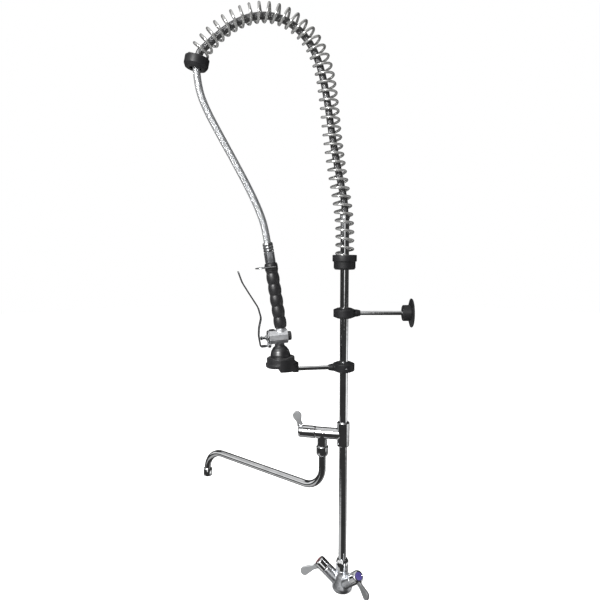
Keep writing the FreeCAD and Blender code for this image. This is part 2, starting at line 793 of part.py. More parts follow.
cap_axis = arch_dir * math.sin(math.radians(size("end_cap_tilt")))
cap_axis = cap_axis - V(0, 0, math.cos(math.radians(size("end_cap_tilt"))))
end_cap = frame(in_arch(296.2, 1121.8), cap_axis, arch_dir)
finish(turned("end_cap_turned", end_cap, [
    ("spring_d / 2 + 0.5", "0"),
    ("end_cap_d / 2 - 1", "0"),
    ("end_cap_d / 2", "1"),
    ("end_cap_d / 2", "end_cap_tall - 6.6"),
    ("end_cap_d / 2 - 3.6", "end_cap_tall"),
    ("hose_d / 2 + 4", "end_cap_tall"),
    ("hose_d / 2 + 4", "13"),
    ("spring_d / 2 + 0.5", "13"),
]), "spring_end_cap")

# ---- Hose ------------------------------------------------------------------------------------
finish(turned("hose_collar_turned", deck, [
    ("hose_d / 2 + 0.05", "riser_top + 7"),
    ("hose_d / 2 + 0.05", "riser_top + 0.4"),
    ("riser_d / 2 + 0.1", "riser_top + 0.4"),
    ("riser_d / 2 + 0.1", "riser_top - 6"),
    ("riser_d / 2 + 1.2", "riser_top - 6"),
    ("riser_d / 2 + 1.2", "riser_top + 4"),
    ("riser_d / 2 + 0.4", "riser_top + 7"),
]), "hose_collar")

inner_line = [
    (0, 823), (0, 848), (10.4, 893), (21.2, 944), (30, 995), (37.4, 1044.5), (46.6, 1094.2), (59, 1135.2),
    (80.2, 1171.2), (111.8, 1198.4), (150.4, 1210.3), (190.8, 1206.1), (228.2, 1188.4), (257.8, 1164.9),
    (279.5, 1144), (294, 1132), (299.2, 1107.6),
]
outer_line = [
    (299, 1105.4), (296.4, 1066), (281, 1025), (259, 984), (233, 937), (209, 893), (188.6, 853),
    (172.6, 815), (165.3, 785.5), (161.7, 762),
]


def hose(name, line):
    """Hose along a route, with its bend radii printed."""
    points = [in_arch(*point) for point in line]
    radii = easy_radii(points)
    route = rounded_route(points, radii)
    part = round_bar(name + "_round", route, size("hose_d") / 2)
    plain = math.pi * size("hose_d") ** 2 / 4 * route.Length
    print("%s length %.1f, radii %s" % (name, route.Length, " ".join("%.0f" % r for r in radii)))
    print("%s volume %.0f, section times length %.0f" % (name, part.Shape.Volume, plain))
    return finish(part, name)


hose("inner_hose", inner_line)
hose("hanging_hose", outer_line)

# ---- Handset ---------------------------------------------------------------------------------
handset_base = in_arch(size("handset_foot"), size("handset_level"))


def leaning(tilt):
    """Frame at the foot of the grip: Z up the grip, X out towards the user."""
    a = math.radians(tilt)
    return frame(handset_base, arch_dir * math.sin(a) + V(0, 0, math.cos(a)), arch_dir)


grip = leaning(size("grip_tilt"))
head = leaning(size("head_tilt"))

grip_points = [("7.2", "1.6"), ("grip_d / 2 - 0.6", "1.6"), ("grip_d / 2", "2.4")]
for i in range(5):
    middle = 13 + i * size("grip_bump_pitch")
    for step, radius in ((-4.5, "grip_d / 2 - 0.2"), (0, "grip_d / 2"), (4.5, "grip_d / 2 - 0.2"),
                         (9, "grip_waist_d / 2 + 0.4"), (13.5, "grip_waist_d / 2 + 0.2")):
        grip_points.append((radius, "%g" % (middle + step)))
grip_points += [("grip_d / 2 - 0.4", "120.8"), ("7.2", "120.8")]
finish(turned("grip_turned", grip, grip_points), "grip")
finish(turned("inlet_tube_turned", grip, [
    ("5.6", "-1"),
    ("7.1", "-1"),
    ("7.1", "136"),
    ("5.6", "136"),
]), "inlet_tube")

bail_level = 128.2
bail_pivot = moved(grip, x=-8, z=bail_level)
collar_core = turned("grip_collar_core", grip, [
    ("7.2", "121.2"),
    ("grip_d / 2 - 0.6", "121.2"),
    ("grip_d / 2", "122.2"),
    ("grip_d / 2", "133"),
    ("grip_d / 2 - 1.6", "136.6"),
    ("7.2", "136.6"),
])
crosswise = turned_to(bail_pivot, V(1, 0, 0), 90)
finish(cut("grip_collar_cut", collar_core, [
    rod("bail_hole_near", moved(crosswise, z=8.4), "bail_wire_d / 2 + 0.1", "10"),
    rod("bail_hole_far", moved(crosswise, z=-18.4), "bail_wire_d / 2 + 0.1", "10"),
]), "grip_collar")

bail_frame = turned_to(bail_pivot, V(0, 1, 0), -2.3)


def in_bail(x, y):
    return bail_frame.multVec(V(x, y, 0))


half = size("bail_half")
bail_route = rounded_route([
    in_bail(0, -9),
    in_bail(0, -half),
    in_bail(size("bail_long"), -half),
    in_bail(size("bail_long"), half),
    in_bail(0, half),
    in_bail(0, 9),
], [2.5, 12, 12, 2.5])
finish(round_bar("bail_wire", bail_route, size("bail_wire_d") / 2), "lock_bail")

nut_blank = prism("hose_nut_prism", moved(grip, z=137), 6, "18.6", "22.6")
nut_round = turned("hose_nut_round", grip, [
    ("0", "137"), ("9.6", "137"), ("10.8", "138.4"), ("10.8", "158.2"), ("9.6", "159.6"), ("0", "159.6"),
])
nut_common = doc.addObject("Part::MultiCommon", "hose_nut_common")
nut_common.Shapes = [nut_blank, nut_round]
finish(cut("hose_nut_cut", nut_common, [
    rod("hose_nut_bore", moved(grip, z=130), "7.3", "40"),
]), "hose_nut")
finish(turned("hose_ferrule_turned", grip, [
    ("7.3", "160"),
    ("10.3", "160"),
    ("10.6", "161"),
    ("10.6", "175"),
    ("9.4", "178.6"),
    ("hose_d / 2 + 0.3", "178.6"),
    ("hose_d / 2 + 0.3", "171"),
    ("7.3", "171"),
]), "hose_ferrule")

# valve body: eight-sided block along X with a neck above and below and two lugs for the lever
valve_line = frame(head.multVec(V(0, 0, size("valve_axis"))), head.Rotation.multVec(V(1, 0, 0)),
                   head.Rotation.multVec(V(0, 0, 1)))
valve_block = prism("valve_block", turned_to(moved(valve_line, z=-12.5), V(0, 0, 1), 22.5), 8,
                    "valve_flats", "38.5")
nozzle = moved(head, x=size("nozzle_offset"))
lug_axis = turned_to(moved(head, x=size("pivot_out"), z=size("pivot_level")), V(1, 0, 0), 90)


def lug(name, start):
    """Plate with a round end that carries the pivot pin."""
    corner = moved(head, size("pivot_out") - 4, start, size("pivot_level"))
    plate = block(name + "_plate", corner, "8", "3", "8")
    eye = rod(name + "_eye", moved(lug_axis, z=-start - 3), "4", "3")
    return [plate, eye]


valve_solid = fused("valve_solid", [
    valve_block,
    rod("valve_neck", moved(head, z=-8), "10.4", "8.2"),
    rod("valve_outlet", moved(nozzle, z=-37), "5.9", "11.4"),
] + lug("lug_near", -8.2) + lug("lug_far", 5.2))
finish(cut("valve_cut", valve_solid, [
    rod("valve_inlet_bore", moved(head, z=-12), "7.2", "20"),
    rod("valve_outlet_bore", moved(nozzle, z=-40), "4", "22"),
    rod("valve_chamber", moved(valve_line, z=-13), "8", "21"),
    rod("valve_plunger_bore", moved(valve_line, z=-2), "plunger_d / 2 + 0.1", "40"),
    rod("valve_pin_bore", moved(lug_axis, z=-12), "pivot_d / 2", "24"),
    rod("valve_eye_room", moved(lug_axis, z=-5.1), "pivot_d / 2 + 2.5", "10.2"),
    rod("flow_screw_bore", moved(head, 19.5, 0, -9), "3", "12"),
]), "valve_body")
front_ring = turned("valve_front_ring_turned", valve_line, [
    ("plunger_d / 2 + 0.1", "26.1"),
    ("14.2", "26.1"),
    ("14.7", "26.7"),
    ("14.7", "28.8"),
    ("13.6", "29.8"),
    ("plunger_d / 2 + 0.1", "29.8"),
])
finish(cut("valve_front_ring_cut", front_ring, [
    block("valve_ring_flat", moved(head, 24, -8.7, -36), "8", "17.4", "10.3"),
]), "valve_front_ring")
finish(cut("packing_nut_cut", prism("packing_nut_prism", moved(valve_line, z=29.8), 6, "10", "3.6"), [
    rod("packing_nut_bore", moved(valve_line, z=25), "plunger_d / 2 + 0.1", "12"),
]), "packing_nut")
finish(turned("plunger_turned", valve_line, [
    ("0", "5"),
    ("plunger_d / 2 + 3.4", "5"),
    ("plunger_d / 2 + 3.4", "7.4"),
    ("plunger_d / 2", "7.4"),
    ("plunger_d / 2", "39.5"),
    ("plunger_d / 2 + 1.2", "40.4"),
    ("plunger_d / 2 + 1.2", "42.4"),
    ("plunger_d / 2", "44.2"),
    ("0", "44.8"),
]), "plunger")
finish(turned("valve_rear_cap_turned", valve_line, [
    ("0", "-12.6"),
    ("9.6", "-12.6"),
    ("9.6", "-18.6"),
    ("8.4", "-20.4"),
    ("0", "-20.4"),
]), "valve_rear_cap")
finish(turned("flow_screw_turned", moved(head, x=19.5), [
    ("0", "-8.8"),
    ("2.95", "-8.8"),
    ("2.95", "-3.3"),
    ("6.3", "-3.3"),
    ("6.3", "-1.6"),
    ("5.7", "-1"),
    ("0", "-1"),
]), "flow_screw")

finish(turned("nozzle_bell_turned", nozzle, [
    ("6", "-31.2"),
    ("6", "-37.5"),
    ("11.4", "-42"),
    ("15.6", "-47"),
    ("18", "-53"),
    ("18.4", "-64"),
    ("26", "-64"),
    ("26", "-61.6"),
    ("bell_d / 2", "-61.6"),
    ("bell_d / 2 - 0.4", "-52"),
    ("bell_d / 2 - 2.8", "-45.4"),
    ("14.6", "-40.2"),
    ("10.6", "-36.8"),
    ("10.6", "-35.7"),
    ("9.9", "-35.7"),
    ("9.9", "-31.2"),
]), "nozzle_bell")
finish(turned("bumper_turned", nozzle, [
    ("bell_d / 2 + 0.1", "-60"),
    ("27.4", "-60"),
    ("29.3", "-61.6"),
    ("29.3", "-70.2"),
    ("bumper_d / 2 - 1", "-71.2"),
    ("bumper_d / 2", "-72.6"),
    ("bumper_d / 2", "-77.6"),
    ("bumper_d / 2 - 2", "-79.8"),
    ("26.1", "-79.8"),
    ("26.1", "-61.5"),
    ("bell_d / 2 + 0.1", "-61.5"),
]), "nozzle_bumper")
face_core = turned("face_core", nozzle, [
    ("0", "-77"),
    ("26", "-77"),
    ("26", "-64.1"),
    ("23.6", "-64.1"),
    ("23.6", "-73"),
    ("0", "-73"),
])
face_holes = [
    rod("face_hole_%d_%d" % (ring, i), moved(
        turned_to(nozzle, V(0, 0, 1), 360 * i / count + 180 * ring / count), x=reach, z=-80), "1.1", "10")
    for ring, (reach, count) in enumerate(((10, 8), (18, 14)))
    for i in range(count)
]
finish(cut("face_cut", face_core, face_holes + [
    rod("face_screw_bore", moved(nozzle, z=-80), "1.6", "10"),
]), "spray_face")
finish(turned("face_screw_turned", nozzle, [
    ("0", "-78.6"),
    ("2.6", "-78.6"),
    ("3.4", "-77.8"),
    ("3.4", "-77"),
    ("1.55", "-77"),
    ("1.55", "-68"),
    ("0", "-68"),
]), "face_screw")


def in_head(across, up, sideways=0.0):
    return head.multVec(V(across, sideways, up))


# squeeze lever: a bent strip whose foot narrows to an eye round the pivot pin
strip_points = [(79, 124.3), (72.6, 101), (60.4, 77.6), (44, 47), (39.6, 25), (45.6, 4), (47.4, -12),
                (45.2, -34.4), (33.8, -34.4)]
strip_route = rounded_route([in_head(*point) for point in strip_points], [60, 60, 40, 18, 18, 40, 3])
start = strip_route.Edges[0].valueAt(strip_route.Edges[0].FirstParameter)
along = strip_route.Edges[0].tangentAt(strip_route.Edges[0].FirstParameter)
wide = head.Rotation.multVec(V(0, 1, 0)) * (size("lever_width") / 2)
thick = along.cross(wide).normalize() * (size("strip_thick") / 2)
section = Part.makePolygon([start + wide + thick, start + wide - thick, start - wide - thick,
                            start - wide + thick, start + wide + thick])
strip = swept("lever_strip", strip_route, section)
tongue = block("lever_tongue", moved(head, size("pivot_out"), -4.9, -34.4 - size("strip_thick") / 2),
               "8", "9.8", "strip_thick")
eye = rod("lever_eye", moved(lug_axis, z=-4.9), "pivot_d / 2 + 2", "9.8")
finish(cut("lever_cut", fused("lever_solid", [strip, tongue, eye]), [
    rod("lever_eye_bore", moved(lug_axis, z=-12), "pivot_d / 2 + 0.05", "24"),
]), "squeeze_lever")
finish(turned("pivot_pin_turned", lug_axis, [
    ("0", "-9.4"),
    ("pivot_d / 2 + 0.9", "-9.4"),
    ("pivot_d / 2 + 0.9", "-8.3"),
    ("pivot_d / 2", "-8.3"),
    ("pivot_d / 2", "9"),
    ("0", "9"),
]), "lever_pivot_pin")

# ---- Checks and files --------------------------------------------------------------------------
doc.recompute()
for thing in doc.Objects:
    if "Invalid" in thing.State or "Error" in thing.State:
        raise RuntimeError("%s failed: %s" % (thing.Label, thing.State))
for piece in pieces:
    shape = piece.Shape
    if shape.isNull() or not shape.isValid():
        raise RuntimeError("%s has no valid shape" % piece.Label)
    if len(shape.Solids) != 1:
        raise RuntimeError("%s has %d solids" % (piece.Label, len(shape.Solids)))
for piece in pieces:
    piece.Shape.exportStep("parts/%s.step" % piece.Label)
print("%d parts written" % len(pieces))
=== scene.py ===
import json
import math

import bmesh
import bpy
from mathutils import Matrix, Vector


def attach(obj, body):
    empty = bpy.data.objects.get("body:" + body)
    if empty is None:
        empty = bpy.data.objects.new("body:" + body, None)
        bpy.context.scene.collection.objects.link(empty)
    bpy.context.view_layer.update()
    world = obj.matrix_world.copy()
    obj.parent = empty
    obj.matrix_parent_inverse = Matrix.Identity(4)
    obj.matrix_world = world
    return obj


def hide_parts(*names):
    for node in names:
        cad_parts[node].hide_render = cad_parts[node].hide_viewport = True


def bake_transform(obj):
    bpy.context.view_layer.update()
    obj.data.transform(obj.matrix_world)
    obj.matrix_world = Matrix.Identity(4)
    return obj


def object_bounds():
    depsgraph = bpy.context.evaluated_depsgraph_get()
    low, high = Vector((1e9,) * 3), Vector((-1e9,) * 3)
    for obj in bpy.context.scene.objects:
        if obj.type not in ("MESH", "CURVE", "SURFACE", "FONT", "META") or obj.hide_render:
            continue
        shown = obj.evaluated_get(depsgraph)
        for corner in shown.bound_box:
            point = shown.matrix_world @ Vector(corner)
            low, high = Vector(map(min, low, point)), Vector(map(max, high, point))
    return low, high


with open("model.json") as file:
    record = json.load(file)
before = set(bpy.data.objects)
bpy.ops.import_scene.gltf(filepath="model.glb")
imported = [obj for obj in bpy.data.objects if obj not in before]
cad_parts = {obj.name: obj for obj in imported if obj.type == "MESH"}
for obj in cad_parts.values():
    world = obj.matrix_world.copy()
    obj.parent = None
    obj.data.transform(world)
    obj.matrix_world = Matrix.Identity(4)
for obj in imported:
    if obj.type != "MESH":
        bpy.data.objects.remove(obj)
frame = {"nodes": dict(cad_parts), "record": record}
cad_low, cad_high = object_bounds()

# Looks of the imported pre-rinse unit. Metres, Z up, -Y towards the user, +Y towards the wall. The
# photograph looks along -X. Outlines and poles are written in millimetres, as in part.py.
MM = 0.001
UP = Vector((0, 0, 1))
scene = bpy.context.scene
scene.view_settings.view_transform = "Standard"


# ---- Directions and frames -----------------------------------------------------------------------
def heading(yaw, rise=0.0):
    a = math.radians(yaw)
    b = math.radians(rise)
    return Vector((math.cos(a) * math.cos(b), math.sin(a) * math.cos(b), math.sin(b)))


def place(origin, axis, side):
    """Frame whose Z lies along axis and whose X is as near side as it can be."""
    z = Vector(axis).normalized()
    x = Vector(side) - z * z.dot(Vector(side))
    x.normalize()
    y = z.cross(x)
    made = Matrix((x, y, z)).transposed().to_4x4()
    made.translation = Vector(origin)
    return made


ARCH_YAW = 280  # 10 degrees from the user's side towards the camera
arch_dir = heading(ARCH_YAW)
across_arch = UP.cross(arch_dir)


def in_arch(across, up):
    """Point of the upright plane that holds the arch, in millimetres out from the riser and up."""
    return (arch_dir * across + UP * up) * MM


def leaning(tilt):
    """Upward direction that leans outwards in the arch's plane."""
    return arch_dir * math.sin(math.radians(tilt)) + UP * math.cos(math.radians(tilt))


GRIP_TILT = 8.75
HEAD_TILT = 4
handset_foot = in_arch(135.2, 589.8)
grip_axis = leaning(GRIP_TILT)
head_axis = leaning(HEAD_TILT)
grip_place = place(handset_foot, grip_axis, arch_dir)
head_place = place(handset_foot, head_axis, arch_dir)


# ---- Mesh tools ----------------------------------------------------------------------------------
SMOOTH_ANGLE = 35
TUBE_SMOOTH_ANGLE = 50
CORNER_SHARE = 0.48  # of an edge's length, the most that a corner's arc takes
MERGE_GAP = 0.002 * MM
EDGE_ANGLE = 32
EDGE_SEGMENTS = 3
FLAT_ANGLE = 1


def new_object(name, vertices, faces, smooth_angle=SMOOTH_ANGLE):
    mesh = bpy.data.meshes.new(name)
    mesh.from_pydata([tuple(v) for v in vertices], [], faces)
    mesh.validate()
    mesh.shade_smooth()
    mesh.set_sharp_from_angle(angle=math.radians(smooth_angle))
    made = bpy.data.objects.new(name, mesh)
    scene.collection.objects.link(made)
    return made


def rounded_outline(points, steps=5):
    """Outline in which each corner given as (r, z, radius) becomes an arc."""
    outline = []
    count = len(points)
    for i, point in enumerate(points):
        here = Vector(point[:2])
        radius = point[2] if len(point) > 2 else 0
        if not radius or i in (0, count - 1):
            outline.append(here)
            continue
        back = Vector(points[i - 1][:2]) - here
        ahead = Vector(points[i + 1][:2]) - here
        half = back.angle(ahead) / 2
        room = CORNER_SHARE * min(back.length, ahead.length)
        reach = min(radius / math.tan(half), room)
        radius = reach * math.tan(half)
        first = here + back.normalized() * reach
        last = here + ahead.normalized() * reach
        inward = (back.normalized() + ahead.normalized()).normalized()
        middle = here + inward * (radius / math.sin(half))
        start = math.atan2(first.y - middle.y, first.x - middle.x)
        sweep = math.atan2(last.y - middle.y, last.x - middle.x) - start
        sweep = (sweep + math.pi) % (2 * math.pi) - math.pi
        for k in range(steps + 1):
            a = start + sweep * k / steps
            outline.append(middle + Vector((math.cos(a), math.sin(a))) * radius)
    return outline


def lathe(name, where, points, steps, smooth_angle):
    """Turned ring from a closed millimetre outline."""
    outline = rounded_outline(points)
    vertices = []
    for r, z in outline:
        for k in range(steps):
            a = 2 * math.pi * k / steps
            vertices.append(where @ Vector((r * math.cos(a) * MM, r * math.sin(a) * MM, z * MM)))
    faces = []
    for i in range(len(outline)):
        low = i * steps
        high = (i + 1) % len(outline) * steps
        for k in range(steps):
            n = (k + 1) % steps
            faces.append((low + k, low + n, high + n, high + k))
    made = new_object(name, vertices, faces, smooth_angle)
    outward(made)
    return made


def outward(thing):
    """Makes every face of a closed mesh look outwards."""
    work = bmesh.new()
    work.from_mesh(thing.data)
    bmesh.ops.recalc_face_normals(work, faces=work.faces)
    work.to_mesh(thing.data)
    work.free()
    return thing


def distances(line):
    """Distance of each point from the line's start, along the line."""
    lengths = [0.0]
    for before, after in zip(line, line[1:]):
        lengths.append(lengths[-1] + (after - before).length)
    return lengths


def travel_frames(line):
    """Side vectors carried along a line without twist."""
    tangents = []
    for i in range(len(line)):
        before = line[max(i - 1, 0)]
        after = line[min(i + 1, len(line) - 1)]
        tangents.append((after - before).normalized())
    side = tangents[0].orthogonal().normalized()
    sides = []
    for tangent in tangents:
        side = (side - tangent * tangent.dot(side)).normalized()
        sides.append(side)
    return tangents, sides


def tube(name, line, radius, sides):
    """Closed round bar along a line, with u round it and v along it in metres."""
    tangents, starts = travel_frames(line)
    vertices = []
    for point, tangent, side in zip(line, tangents, starts):
        other = tangent.cross(side)
        for k in range(sides):
            a = 2 * math.pi * k / sides
            vertices.append(point + (side * math.cos(a) + other * math.sin(a)) * radius)
    faces = []
    for i in range(len(line) - 1):
        for k in range(sides):
            n = (k + 1) % sides
            row, following = i * sides, (i + 1) * sides
            faces.append((row + k, row + n, following + n, following + k))
    faces.append(tuple(reversed(range(sides))))
    faces.append(tuple(range((len(line) - 1) * sides, len(line) * sides)))
    made = new_object(name, vertices, faces, TUBE_SMOOTH_ANGLE)
    lengths = distances(line)
    layer = made.data.uv_layers.new(name="UVMap")
    for face in made.data.polygons:
        corners = [(at, made.data.loops[at].vertex_index) for at in face.loop_indices]
        wrap = any(v % sides == sides - 1 for _, v in corners)
        for at, v in corners:
            u = v % sides
            if wrap and u == 0:
                u = sides
            layer.data[at].uv = (u / sides, lengths[v // sides])
    return made


def nurbs_line(points, fineness=24):
    """Points of the smooth curve that has the given points as its poles."""
    curve = bpy.data.curves.new("route", "CURVE")
    curve.dimensions = "3D"
    curve.resolution_u = fineness
    spline = curve.splines.new("NURBS")
    spline.points.add(len(points) - 1)
    for pole, point in zip(spline.points, points):
        pole.co = (*point, 1)
    spline.order_u = 3
    spline.use_endpoint_u = True
    holder = bpy.data.objects.new("route", curve)
    scene.collection.objects.link(holder)
    mesh = bpy.data.meshes.new_from_object(holder)
    line = [v.co.copy() for v in mesh.vertices]
    bpy.data.objects.remove(holder)
    bpy.data.curves.remove(curve)
    bpy.data.meshes.remove(mesh)
    return line


def evenly(line, count):
    """The same line as count equal steps."""
    lengths = distances(line)
    result = []
    at = 0
    for i in range(count + 1):
        target = lengths[-1] * i / count
        while at < len(line) - 2 and lengths[at + 1] < target:
            at += 1
        share = (target - lengths[at]) / (lengths[at + 1] - lengths[at])
        result.append(line[at].lerp(line[at + 1], share))
    return result


def use_modifiers(thing):
    """Turns a piece's modifiers into its mesh."""
    seen = thing.evaluated_get(bpy.context.evaluated_depsgraph_get())
    mesh = bpy.data.meshes.new_from_object(seen)
    thing.modifiers.clear()
    thing.data = mesh
    return thing


def copy_of(node):
    """Piece with the CAD node's shape, its double points merged."""
    made = bpy.data.objects.new(node + "_copy", frame["nodes"][node].data.copy())
    scene.collection.objects.link(made)
    work = bmesh.new()
    work.from_mesh(made.data)
    bmesh.ops.remove_doubles(work, verts=work.verts, dist=MERGE_GAP)
    bmesh.ops.recalc_face_normals(work, faces=work.faces)
    work.to_mesh(made.data)
    work.free()
    return made


def cast(thing, voxel, rounds):
    """Melts the inner corners of a piece together and rounds its edges, as a casting has them."""
    remesh = thing.modifiers.new("skin", "REMESH")
    remesh.mode = "VOXEL"
    remesh.voxel_size = voxel * MM
    soften = thing.modifiers.new("soften", "SMOOTH")
    soften.factor = 0.5
    soften.iterations = rounds
    use_modifiers(thing)
    thing.data.shade_smooth()
    return thing


def eased(thing, width):
    """Small round on every sharp edge of a machined or moulded piece."""
    flat = thing.modifiers.new("flat", "DECIMATE")
    flat.decimate_type = "DISSOLVE"
    flat.angle_limit = math.radians(FLAT_ANGLE)
    edges = thing.modifiers.new("edges", "BEVEL")
    edges.width = width * MM
    edges.segments = EDGE_SEGMENTS
    edges.limit_method = "ANGLE"
    edges.angle_limit = math.radians(EDGE_ANGLE)
    use_modifiers(thing)
    thing.data.shade_smooth()
    thing.data.set_sharp_from_angle(angle=math.radians(EDGE_ANGLE))
    return thing


# ---- Materials -----------------------------------------------------------------------------------
def wire(tree, value, socket):
    if isinstance(value, bpy.types.NodeSocket):
        tree.links.new(value, socket)
    else:
        socket.default_value = value


def calc(tree, operation, *values):
    made = tree.nodes.new("ShaderNodeMath")
    made.operation = operation
    for value, socket in zip(values, made.inputs):
        wire(tree, value, socket)
    return made.outputs[0]


def ease(tree, value, low, high, start=0.0, end=1.0):
    """Smooth step from start to end as value goes from low to high."""
    made = tree.nodes.new("ShaderNodeMapRange")
    made.interpolation_type = "SMOOTHSTEP"
    for given, socket in zip((value, low, high, start, end), made.inputs):
        wire(tree, given, socket)
    return made.outputs[0]


def noise(tree, scale, detail, stretch=None):
    """Noise over the piece's own coordinates; scale is in waves per metre."""
    where = tree.nodes.new("ShaderNodeTexCoord").outputs["Object"]
    if stretch:
        mapping = tree.nodes.new("ShaderNodeMapping")
        mapping.inputs["Scale"].default_value = stretch
        tree.links.new(where, mapping.inputs["Vector"])
        where = mapping.outputs[0]
    made = tree.nodes.new("ShaderNodeTexNoise")
    made.inputs["Scale"].default_value = scale
    made.inputs["Detail"].default_value = detail
    tree.links.new(where, made.inputs["Vector"])
    return made.outputs["Fac"]


def mixed(tree, share, first, second):
    made = tree.nodes.new("ShaderNodeMix")
    made.data_type = "RGBA"
    wire(tree, share, made.inputs["Factor"])
    wire(tree, first, made.inputs["A"])
    wire(tree, second, made.inputs["B"])
    return made.outputs["Result"]


def bump(tree, height, strength, distance):
    made = tree.nodes.new("ShaderNodeBump")
    made.inputs["Strength"].default_value = strength
    made.inputs["Distance"].default_value = distance
    wire(tree, height, made.inputs["Height"])
    return made.outputs["Normal"]


def start_material(name, **values):
    """Material whose shader sockets have the given constants."""
    made = bpy.data.materials.new(name)
    made.use_nodes = True
    shader = made.node_tree.nodes["Principled BSDF"]
    for key, value in values.items():
        shader.inputs[key.replace("_", " ")].default_value = value
    return made, made.node_tree, shader


# Scales of the plating's patterns, in waves per metre, and the way its wiping marks are drawn out.
CLOUD_SCALE = 55
MARK_SCALE = 900
GRIND_SCALE = 130
UPRIGHT_MARKS = (1, 1, 0.18)
LEVER_MARKS = (1, 0.2, 1)
DULL_SHARE = 0.86
GRIND_STRENGTH = 0.25


def plated(name, tint, low, high, grain=0.0004, marks=UPRIGHT_MARKS, metal=1.0):
    """Plating with faint clouding, wiping marks and slightly uneven ground metal; low and high
    are its roughness and grain the depth of the grinding in metres."""
    made, tree, shader = start_material(name, Metallic=metal)
    clouds = noise(tree, CLOUD_SCALE, 4)
    smear = calc(tree, "MULTIPLY", clouds, noise(tree, MARK_SCALE, 5, marks))
    wire(tree, ease(tree, smear, 0.12, 0.42, low, high), shader.inputs["Roughness"])
    dull = [c * DULL_SHARE for c in tint[:3]] + [1]
    cloudy = ease(tree, clouds, 0.35, 0.75)
    wire(tree, mixed(tree, cloudy, tint, dull), shader.inputs["Base Color"])
    ground = bump(tree, noise(tree, GRIND_SCALE, 2), GRIND_STRENGTH, grain)
    wire(tree, ground, shader.inputs["Normal"])
    return made


DUST_SCALE = 60
WORN_FROM, WORN_TO = 0.505, 0.56  # pointiness between which an edge goes from fresh to worn


def moulded(name, colour, worn, low, high, grain_scale, grain_depth, sheen=0.0, gleam=0.35):
    """Plastic or rubber with a fine moulded grain, uneven gloss and lighter worn edges."""
    made, tree, shader = start_material(name, Specular_IOR_Level=gleam, Sheen_Weight=sheen)
    cloud = noise(tree, DUST_SCALE, 5)
    fine = noise(tree, grain_scale, 2)
    pointed = tree.nodes.new("ShaderNodeNewGeometry").outputs["Pointiness"]
    worn_edge = calc(tree, "MULTIPLY", ease(tree, pointed, WORN_FROM, WORN_TO), cloud)
    wire(tree, mixed(tree, worn_edge, colour, worn), shader.inputs["Base Color"])
    wire(tree, ease(tree, cloud, 0.3, 0.7, low, high), shader.inputs["Roughness"])
    wire(tree, bump(tree, fine, 0.35, grain_depth), shader.inputs["Normal"])
    return made


BRAID_TURNS = 30.0  # per metre of hose
BRAID_STRANDS = 24
BRAID_DEPTH = 0.0003


def braided(name, gaps, strand):
    """Steel braid under a clear skin: two sets of strands that cross, from the tube's own UVs."""
    made, tree, shader = start_material(name, Metallic=0.85, Coat_Weight=0.6, Coat_Roughness=0.12)
    uv = tree.nodes.new("ShaderNodeTexCoord").outputs["UV"]
    parts = tree.nodes.new("ShaderNodeSeparateXYZ")
    tree.links.new(uv, parts.inputs[0])
    along = calc(tree, "MULTIPLY", parts.outputs[1], BRAID_TURNS)
    strands = []
    for direction in (1.0, -1.0):
        lean = calc(tree, "MULTIPLY_ADD", along, direction, parts.outputs[0])
        strands.append(calc(tree, "SINE", calc(tree, "MULTIPLY", lean, math.tau * BRAID_STRANDS)))
    weave = calc(tree, "MAXIMUM", strands[0], strands[1])
    cross = calc(tree, "MULTIPLY", strands[0], strands[1])
    shade = ease(tree, weave, -0.2, 1.0)
    wire(tree, mixed(tree, shade, gaps, strand), shader.inputs["Base Color"])
    wire(tree, ease(tree, cross, -1.0, 1.0, 0.22, 0.38), shader.inputs["Roughness"])
    wire(tree, bump(tree, weave, 0.5, BRAID_DEPTH), shader.inputs["Normal"])
    return made


chrome = plated("chrome", (0.9, 0.91, 0.92, 1), 0.025, 0.06)
cast_chrome = plated("cast_chrome", (0.8, 0.82, 0.85, 1), 0.26, 0.4, 0.0006)
lever_chrome = plated("lever_chrome", (0.34, 0.35, 0.36, 1), 0.18, 0.3, 0.0002, LEVER_MARKS)
spring_steel = plated("spring_steel", (0.56, 0.56, 0.55, 1), 0.16, 0.24, 0.0002, metal=0.82)
block_chrome = plated("block_chrome", (0.8, 0.81, 0.83, 1), 0.44, 0.56, 0.0004)
paddle_chrome = plated("paddle_chrome", (0.6, 0.61, 0.62, 1), 0.42, 0.52, 0.0003)
steel = plated("steel", (0.66, 0.67, 0.68, 1), 0.18, 0.32, 0.0002)
brass = plated("brass", (0.72, 0.5, 0.22, 1), 0.2, 0.4, 0.0002)
hose_skin = braided("hose_braid", (0.24, 0.25, 0.26, 1), (0.68, 0.69, 0.7, 1))
# Darker copy of the hose braid for the hose inside the spring: painted shade from the spring around
# it.
painted_shade_hose = braided("hose_braid_painted_shade", (0.025, 0.025, 0.026, 1), (0.2, 0.2, 0.202, 1))
black = moulded("black_plastic", (0.008, 0.008, 0.009, 1), (0.03, 0.03, 0.031, 1),
                0.4, 0.52, 1400, 0.00012)
gloss = moulded("black_gloss", (0.007, 0.007, 0.008, 1), (0.03, 0.03, 0.031, 1),
                0.34, 0.44, 900, 0.00008, 0.0, 1.0)
rubber = moulded("rubber", (0.009, 0.009, 0.01, 1), (0.028, 0.028, 0.029, 1),
                 0.36, 0.46, 1800, 0.0001, 0.05, 0.6)
grey = moulded("grey_plastic", (0.2, 0.2, 0.21, 1), (0.3, 0.3, 0.3, 1),
               0.4, 0.55, 1200, 0.0001)
blue = moulded("blue_disc", (0.028, 0.022, 0.12, 1), (0.12, 0.1, 0.3, 1),
               0.12, 0.22, 500, 0.00004)
red = moulded("red_disc", (0.075, 0.005, 0.005, 1), (0.2, 0.03, 0.03, 1),
              0.12, 0.22, 500, 0.00004)


def paint(thing, material):
    thing.data.materials.clear()
    thing.data.materials.append(material)
    return thing


